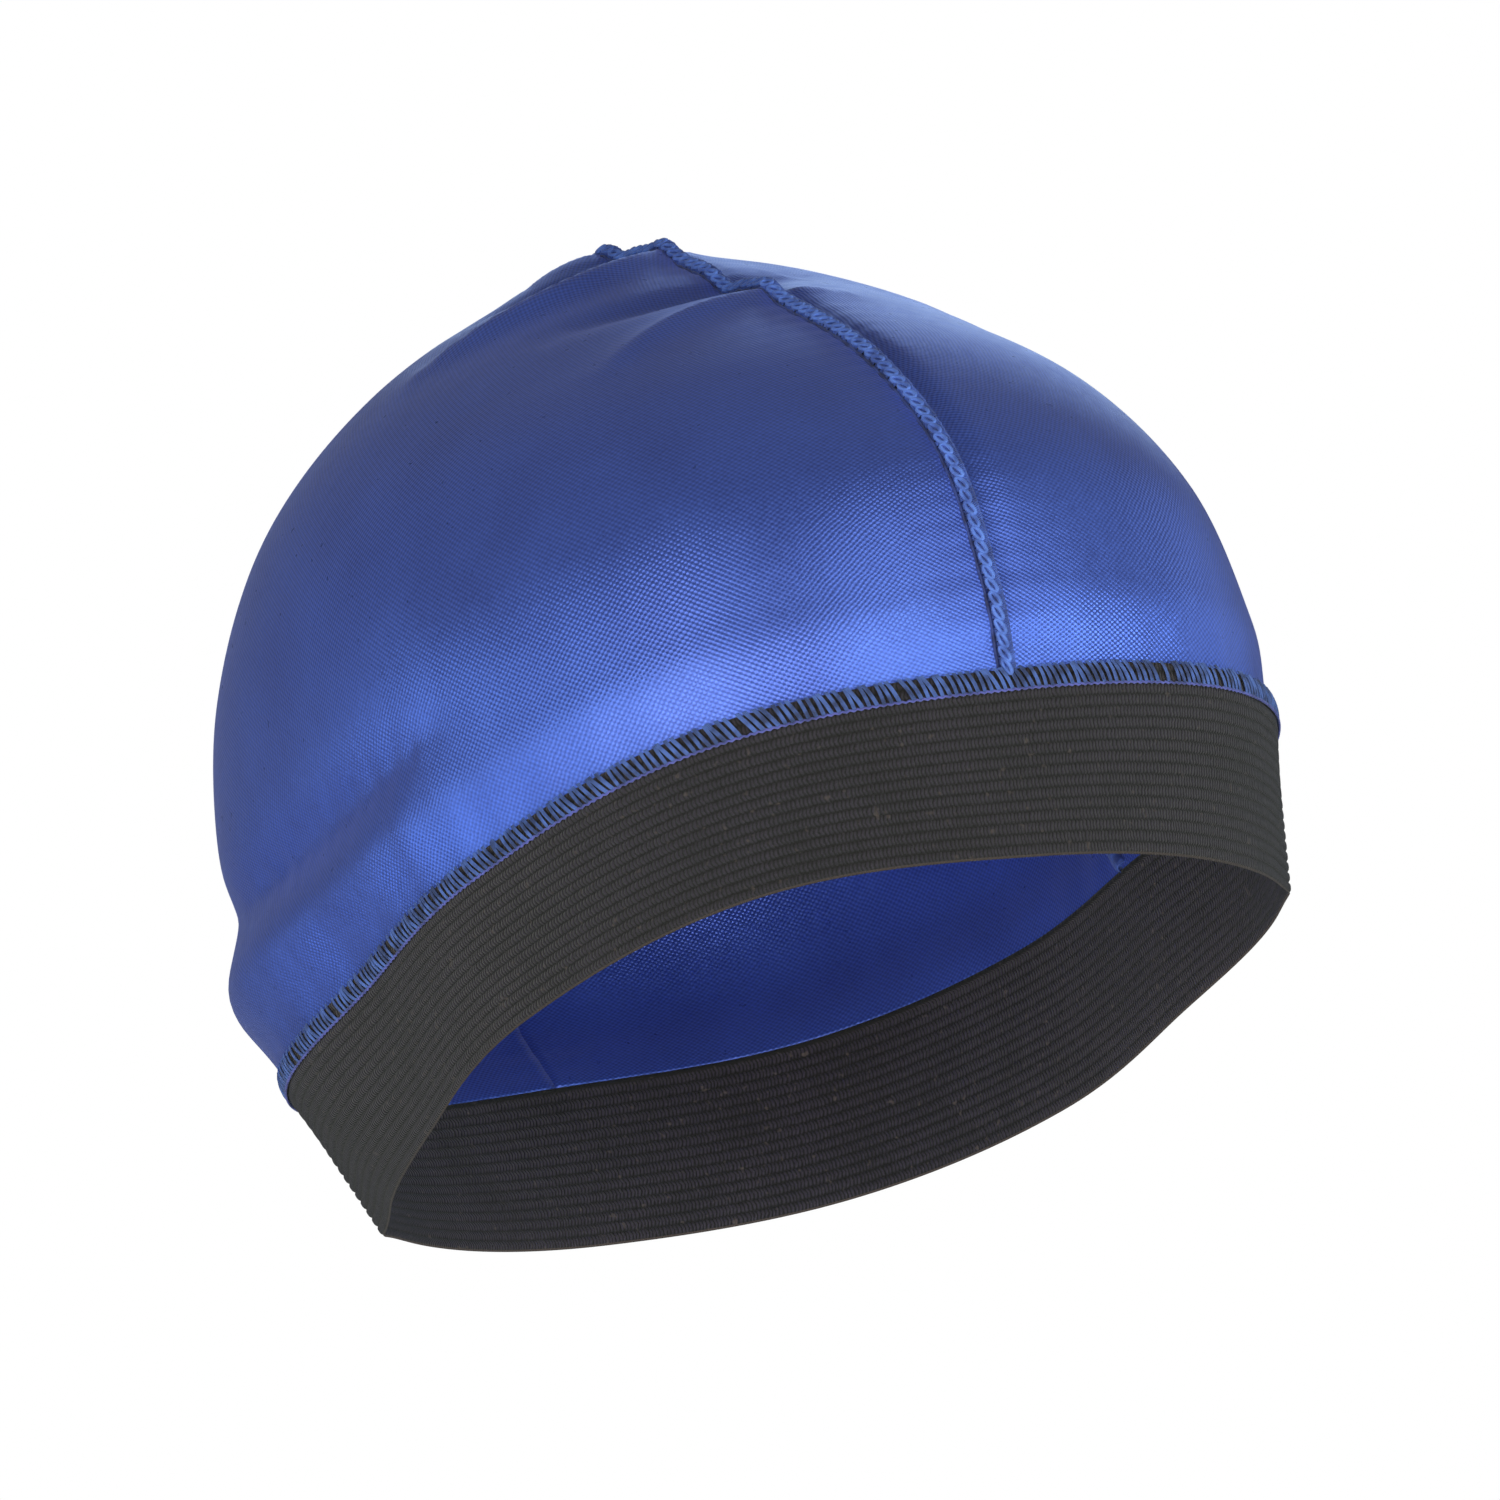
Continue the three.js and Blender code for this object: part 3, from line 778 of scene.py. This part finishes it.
def makeElastic(material, lean):
    p = elasticBand
    degrees = np.arange(p["columns"]) * 360 / p["columns"]
    rim = loopPoints(degrees, "rim")
    joint = loopPoints(degrees, "top")
    out = loopOutward(degrees)
    leaning = out * np.interp(degrees, np.arange(361), lean)[:, None] + [0, 0, 1]
    steps = elasticLook["ribCount"] * p["rowsPerRib"]
    rows, place, amount = [], [], []

    def addRow(points, atPlace, ribAmount):
        rows.append(points)
        place.append(atPlace)
        amount.append(ribAmount)

    for part in np.linspace(0, 1, steps + 1):
        addRow(rim + (joint - rim) * part, part, 1)
    for height in np.linspace(0, p["tuck"], p["tuckRows"] + 1)[1:]:
        addRow(joint + leaning * height, 1 + height / p["width"], 1)
    top = joint + leaning * p["tuck"]
    topPlace = 1 + p["tuck"] / p["width"]
    addRow(top - 0.5 * p["tuckThickness"] * out + [0, 0, p["edgeRound"]], topPlace, 0)
    addRow(top - p["tuckThickness"] * out, topPlace, 0)
    addRow(joint - p["tuckThickness"] * out + [0, 0, 0.1], 1, 0)
    for height in p["lipHeights"]:
        addRow(joint - p["lipThickness"] * out + [0, 0, height], 1, 0)
    for part in np.linspace(p["insideTop"], 0, steps + 1):
        deep = p["thickness"] * (1 - p["thinning"] * math.exp(-part * p["thinningRate"]))
        addRow(rim + (joint - rim) * part - out * deep, part, p["insideRibs"])
    addRow(rim - 0.25 * p["thickness"] * out - [0, 0, p["edgeRound"]], 0.004, 0)
    count = len(rows)
    columns = p["columns"]
    faces = gridFaces(count, columns, closed=True, ringed=True)
    band = addObject("elasticBand", np.concatenate(rows), faces)
    inside = [float(a == p["insideRibs"]) for a in amount]
    for name, values in {"inside": inside, "ribPlace": place, "ribAmount": amount}.items():
        attribute = band.data.attributes.new(name, "FLOAT", "POINT")
        attribute.data.foreach_set("value", np.repeat(values, columns))
    stepLength = np.linalg.norm(np.roll(rim, -1, 0) - rim, axis=1)
    lengthRound = np.concatenate([[0], np.cumsum(stepLength)]) * mm / cm
    uv = []
    for row in range(count):
        low, high = place[row], place[(row + 1) % count]
        for column in range(columns):
            here, after = lengthRound[column], lengthRound[column + 1]
            uv += [(here, low), (after, low), (after, high), (here, high)]
    setUv(band, "strip", uv)
    runTree(band, ribTree(), {"Rib Count": elasticLook["ribCount"],
                              "Groove Depth": p["ribDepth"] * mm, "Material": material})
    return band


# A path for threads: a line of points, each with the direction that its threads stand in
def makePath(name, points, outward, closed):
    count = len(points)
    mesh = bpy.data.meshes.new(name)
    edges = [(i, (i + 1) % count) for i in range(count if closed else count - 1)]
    mesh.from_pydata([tuple(p) for p in points * mm], edges, [])
    attribute = mesh.attributes.new("outward", "FLOAT_VECTOR", "POINT")
    attribute.data.foreach_set("vector", outward.ravel())
    return newObject(name, mesh)


overlock = {
    "height": 3.7,
    "pitch": 1.27,
    "thread": 0.12,
    "slant": 0.8,
    "arch": 0.7,
    "archAt": 0.55,         # the part of the height where the threads bend out
    "sink": 0.1,            # how far their ends run on into the cloth
    "strandGap": 0.24,
    "jitter": 0.16,
    "kept": 0.96,
    "edgeThread": 0.2,      # the looper thread along the lower edge
    "edgeWave": 0.14,
}


def jointPath(name, lean, lift, out):
    degrees = np.arange(720) / 2
    outward = loopOutward(degrees)
    points = loopPoints(degrees, "top") + outward * out + [0, 0, lift]
    leaning = unit(outward - np.interp(degrees, np.arange(361), lean)[:, None] * [0, 0, 1])
    return makePath(name, points, leaning, True)


def makeOverlock(tree, wavyTree, thread, edgeThread, lean):
    o = overlock
    threads = jointPath("overlockThreads", lean, 0, 0.15)
    runTree(threads, tree, {
        "Pitch": o["pitch"] * mm,
        "Start": metres(o["slant"], -o["sink"], 0),
        "Bend": metres(0, o["height"] * o["archAt"], o["arch"]),
        "End": metres(-o["slant"], o["height"], -o["sink"]),
        "Thread": o["thread"] * mm, "Strand Gap": o["strandGap"] * mm,
        "Jitter": o["jitter"], "Kept": o["kept"], "Seed": 4, "Material": thread,
    })
    lower = jointPath("overlockEdge", lean, -0.1, 0.25)
    runTree(lower, wavyTree, {"Pitch": o["pitch"] * mm, "Wave": o["edgeWave"] * mm,
                              "Thread": o["edgeThread"] * mm, "Material": edgeThread})
    return threads, lower


crownSeam = {
    "steps": 300,
    "firstRow": 0.3,
    "crestPart": 0.06,      # the part of its steps, to each side of the top, on the crest
    "halfWidth": 1.05,
    "footWidth": 0.75,      # of the half width, where the ridge stands on the satin
    "stand": 1.8,
    "sunk": 0.4,
    "lean": 0.5,
    "sides": 14,
    "wrapPitch": 0.95,
    "wrapSlant": 0.35,
    "wrapThread": 0.13,
    "wrapGap": 0.3,
    "chainPitch": 2.2,
    "chainLoop": (1.3, 0.5, 1.0),
    "chainThread": 0.33,
    "chainPlace": (0, 0.6, 1.15),
    "chainTilt": (-0.75, 0.28, 0.3),
    "groovePitch": 2.6,     # the needle line beside the ridge, a dark thread that is also the ridge's painted shadow
    "grooveWave": 0.12,
    "grooveShadowThread": 0.3,
    "grooveGap": 0.45,
    "grooveSunk": 0.15,
}


def seamPath():
    c = crownSeam
    part = np.linspace(0, 1, c["steps"] + 1)
    half = np.abs(part - 0.5)
    onCrest = half < c["crestPart"]
    turnOnCrest = 0.5 - (part - 0.5) / (2 * c["crestPart"])
    turn = np.where(onCrest, turnOnCrest, np.where(part < 0.5, 1.0, 0.0))
    climb = (0.5 - half) / (0.5 - c["crestPart"])
    row = np.where(onCrest, topRow, c["firstRow"] + (topRow - c["firstRow"]) * climb)
    points = clothPoints(1, turn, row, 0.0, 0.0)
    points[:, 0] = 0
    tangent = unit(np.gradient(points, axis=0))
    outward = np.stack([np.zeros(len(part)), -tangent[:, 2], tangent[:, 1]], -1)
    return points, outward, tangent


def sweep(name, points, outward, tangent, section, scale=None):
    across = np.cross(outward, tangent)
    scale = np.ones(len(points)) if scale is None else scale
    rings = [points + (across * y + outward * z) * scale[:, None] for y, z in section]
    count, size = len(points), len(section)
    grid = np.stack(rings, 1).reshape(-1, 3)
    faces = gridFaces(count, size, closed=True)
    faces.append(tuple(range(size))[::-1])
    faces.append(tuple(range((count - 1) * size, count * size)))
    return addObject(name, grid, faces)


def makeCrownSeam(tree, loopsTree, wavyTree, thread, chainThread, grooveShadowThread):
    c = crownSeam
    points, outward, tangent = seamPath()
    w, h, lean = c["halfWidth"], c["stand"], c["lean"]
    section = []
    for angle in np.arange(c["sides"]) * 2 * math.pi / c["sides"]:
        high = 0.5 * (1 - math.cos(angle))
        width = w * (c["footWidth"] + (1 - c["footWidth"]) * high)
        section.append((width * math.sin(angle) - lean * high, h * high - c["sunk"]))
    core = sweep("seamCore", points, outward, tangent, section)
    core.data.materials.append(thread)
    shadeSmooth(core)
    wraps = makePath("seamWraps", points, outward, False)
    runTree(wraps, tree, {
        "Pitch": c["wrapPitch"] * mm,
        "Start": metres(-c["wrapSlant"], w + 0.1, -0.1),
        "Bend": metres(0, 0.1 - lean, 2 * h - 0.25),
        "End": metres(c["wrapSlant"], -w - lean - 0.05, 0),
        "Thread": c["wrapThread"] * mm, "Strand Gap": c["wrapGap"] * mm,
        "Jitter": 0.3, "Kept": 1.0, "Seed": 9, "Material": thread,
    })
    chain = makePath("seamChain", points, outward, False)
    runTree(chain, loopsTree, {
        "Pitch": c["chainPitch"] * mm,
        "Loop Size": metres(*c["chainLoop"]),
        "Thread": c["chainThread"] * mm,
        "Offset": metres(*c["chainPlace"]),
        "Tilt": c["chainTilt"],
        "Jitter": 0.12, "Seed": 5, "Material": chainThread,
    })
    # A dark thread sunk in the groove beside the ridge: the needle line, darkened as painted shadow
    # of the ridge
    beside = points - [w + c["grooveGap"], 0, 0] - c["grooveSunk"] * outward
    grooveShadow = makePath("seamGrooveShadow", beside, outward, False)
    runTree(grooveShadow, wavyTree, {
        "Pitch": c["groovePitch"] * mm, "Wave": c["grooveWave"] * mm,
        "Thread": c["grooveShadowThread"] * mm, "Material": grooveShadowThread,
    })
    return core, wraps, chain, grooveShadow


# The short seam inside the right panel, from the band up
innerSeam = {
    "degrees": 4.0,         # where it starts and ends round the cap
    "leansTo": 12.0,
    "rows": (0.08, 1.5),
    "steps": 50,
    "halfWidth": 1.3,
    "stand": 1.4,
    "sunk": 0.2,
    "sides": 12,
    "taper": 0.8,           # how much of it is lost towards its upper end
    "wrappedSteps": 36,     # the threads stop below the tapered end
    "wrapPitch": 1.0,
    "wrapSlant": 0.3,
    "wrapReach": 1.2,
    "wrapArch": 2.4,
    "wrapThread": 0.15,
    "wrapGap": 0.32,
}


def makeInnerSeam(tree, thread):
    i = innerSeam
    row = np.linspace(*i["rows"], i["steps"])
    side, first = halfAndTurn(i["degrees"])
    turn = np.linspace(first, halfAndTurn(i["leansTo"])[1], i["steps"])
    points = clothPoints(side, turn, row, satinPanel["edge"], satinPanel["thickness"])
    tangent = unit(np.gradient(points, axis=0))
    inward = -domeNormals(side, turn, row, satinPanel["edge"])
    taper = 1 - i["taper"] * np.linspace(0, 1, i["steps"])**2
    section = [(i["halfWidth"] * math.sin(angle),
                i["stand"] * 0.5 * (1 - math.cos(angle)) - i["sunk"])
               for angle in np.linspace(0, 2 * math.pi, i["sides"], endpoint=False)]
    core = sweep("innerSeamCore", points, inward, tangent, section, taper)
    core.data.materials.append(thread)
    shadeSmooth(core)
    wrapped = slice(0, i["wrappedSteps"])
    wraps = makePath("innerSeamWraps", points[wrapped], inward[wrapped], False)
    runTree(wraps, tree, {
        "Pitch": i["wrapPitch"] * mm,
        "Start": metres(-i["wrapSlant"], i["wrapReach"], 0),
        "Bend": metres(0, 0, i["wrapArch"]),
        "End": metres(i["wrapSlant"], -i["wrapReach"], 0),
        "Thread": i["wrapThread"] * mm, "Strand Gap": i["wrapGap"] * mm,
        "Jitter": 0.25, "Kept": 1.0, "Seed": 2, "Material": thread,
    })
    return core, wraps


# Camera, light and floor
viewOfPhoto = {
    "azimuth": -29.668,
    "elevation": -16.153,
    "roll": -16.816,
    "distance": 1.5,
    "lens": 210.95,
    "sensor": 36,
    "aimRight": -3.217,     # millimetres from the origin to the picture's middle
    "aimUp": 28.476,
}


# Which way a place seen from the cap at that azimuth and elevation lies, in degrees
def directionTo(place):
    azimuth, elevation = math.radians(place["azimuth"]), math.radians(place["elevation"])
    return Vector((math.sin(azimuth) * math.cos(elevation),
                   -math.cos(azimuth) * math.cos(elevation), math.sin(elevation)))


def placeCamera():
    v = viewOfPhoto
    back = directionTo(v)
    azimuth, roll = math.radians(v["azimuth"]), math.radians(v["roll"])
    level = Vector((math.cos(azimuth), math.sin(azimuth), 0))
    upright = back.cross(level)
    right = level * math.cos(roll) + upright * math.sin(roll)
    up = upright * math.cos(roll) - level * math.sin(roll)
    data = bpy.data.cameras.new("photoCamera")
    data.lens = v["lens"]
    data.sensor_width = v["sensor"]
    camera = newObject("photoCamera", data)
    place = back * v["distance"] + right * v["aimRight"] * mm + up * v["aimUp"] * mm
    turned = Matrix((right, up, back)).transposed().to_4x4()
    camera.matrix_world = Matrix.Translation(place) @ turned
    bpy.context.scene.camera = camera


# azimuth and elevation say where the light stands, seen from the cap, in degrees
studioLights = {
    "leftLow": {"azimuth": -110, "elevation": -25, "power": 3.0, "color": (0.60, 0.86, 1.0)},
    "leftFrontLow": {"azimuth": -75, "elevation": -25, "power": 3.8, "color": (1.0, 0.97, 0.84)},
    "frontLowLeft": {"azimuth": -45, "elevation": -25, "power": 5.4, "color": (1.0, 0.96, 0.80)},
    "frontLow": {"azimuth": -15, "elevation": -25, "power": 4.3, "color": (1.0, 0.90, 0.82)},
    "frontLowRight": {"azimuth": 15, "elevation": -25, "power": 3.9, "color": (0.85, 1.0, 0.90)},
    "rightLow": {"azimuth": 50, "elevation": -25, "power": 6.2, "color": (0.85, 1.0, 0.97)},
    "left": {"azimuth": -110, "elevation": 5, "power": 1.9, "color": (0.78, 1.0, 0.97)},
    "leftFront": {"azimuth": -75, "elevation": 5, "power": 2.0, "color": (0.87, 1.0, 0.92)},
    "front": {"azimuth": -45, "elevation": 5, "power": 3.2, "color": (1.0, 0.98, 0.85)},
    "rightFront": {"azimuth": 15, "elevation": 5, "power": 2.6, "color": (0.95, 1.0, 0.88)},
    "right": {"azimuth": 90, "elevation": 5, "power": 1.2, "color": (0.70, 0.90, 1.0)},
    "rightBack": {"azimuth": 140, "elevation": 35, "power": 1.7, "color": (0.65, 0.88, 1.0)},
}
lampDistance = 1.3
lampSize = 0.7
lampAim = (0, 0, 0.04)


def placeLights():
    for name, light in studioLights.items():
        direction = directionTo(light)
        data = bpy.data.lights.new(name, "AREA")
        data.shape = "DISK"
        data.size = lampSize
        data.color = light["color"]
        data.energy = light["power"]
        lamp = newObject(name, data)
        lamp.location = Vector(lampAim) + direction * lampDistance
        lamp.rotation_euler = direction.to_track_quat("Z", "Y").to_euler()


backdrop = {"seen": (1, 1, 1, 1), "lighting": (0.85, 0.75, 1.0, 1), "lightingStrength": 0.075}


def placeWorld():
    world = bpy.data.worlds.new("studio")
    bpy.context.scene.world = world
    world.use_nodes = True
    tree = world.node_tree
    tree.nodes.clear()
    seen = feed(tree, addNode(tree, "ShaderNodeBackground"),
                {"Color": backdrop["seen"], "Strength": 1.0})
    lighting = feed(tree, addNode(tree, "ShaderNodeBackground"),
                    {"Color": backdrop["lighting"], "Strength": backdrop["lightingStrength"]})
    ray = addNode(tree, "ShaderNodeLightPath").outputs["Is Camera Ray"]
    mix = feed(tree, addNode(tree, "ShaderNodeMixShader"),
               {0: ray, 1: lighting.outputs[0], 2: seen.outputs[0]})
    out = addNode(tree, "ShaderNodeOutputWorld")
    tree.links.new(mix.outputs[0], out.inputs[0])


floorPlace = {"reach": 3.0, "height": -0.62, "color": (0.85, 0.85, 0.85), "roughness": 0.8}


def placeFloor():
    reach, height = floorPlace["reach"], floorPlace["height"]
    mesh = bpy.data.meshes.new("paleFloor")
    corners = [(x * reach, y * reach, height) for x, y in ((-1, -1), (1, -1), (1, 1), (-1, 1))]
    mesh.from_pydata(corners, [], [(0, 1, 2, 3)])
    floor = newObject("paleFloor", mesh)
    mesh.materials.append(newMaterial("pale floor", floorPlace["color"], floorPlace["roughness"])[0])


def main():
    placeCamera()
    placeLights()
    placeWorld()
    placeFloor()
    bpy.context.scene.view_settings.view_transform = "Standard"
    print("studio ready")

    satin = satinMaterial()
    thread = threadMaterial("overlock thread")
    seamThread = threadMaterial("crown seam shaded thread")
    chainThread = threadMaterial("chain stitch highlight thread")
    edgeThread = threadMaterial("violet edge thread")
    grooveShadowThread = threadMaterial("needle line shadow thread")
    elastic = elasticMaterial()

    left = makePanel("satinPanelLeft", -1, satin)
    right = makePanel("satinPanelRight", 1, satin)
    print("satin panels made")

    lean = leanAboveBand()
    band = makeElastic(elastic, lean)
    print("elastic band made")

    rowTree = threadRowTree()
    loopsTree = chainTree()
    wavyTree = wavyThreadTree()
    threads, edge = makeOverlock(rowTree, wavyTree, thread, edgeThread, lean)
    core, wraps, chain, grooveShadow = makeCrownSeam(rowTree, loopsTree, wavyTree, seamThread,
                                               chainThread, grooveShadowThread)
    innerCore, innerWraps = makeInnerSeam(rowTree, seamThread)
    print("seams and stitches made")

    standsFor = {
        left: ("satin_panel_left", "satin"),
        right: ("satin_panel_right", "satin"),
        band: ("elastic_band", "elastic"),
        threads: ("band_overlock", "seam_thread"),
        edge: ("band_overlock", "seam_thread"),
        core: ("crown_seam", "seam_thread"),
        wraps: ("crown_seam", "seam_thread"),
        chain: ("crown_seam", "seam_thread"),
        grooveShadow: ("crown_seam", "seam_thread"),
        innerCore: ("inner_side_seam", "seam_thread"),
        innerWraps: ("inner_side_seam", "seam_thread"),
    }
    for piece, (node, slot) in standsFor.items():
        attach(piece, "root")
        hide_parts(node)
    print("pieces joined to the frame")


main()
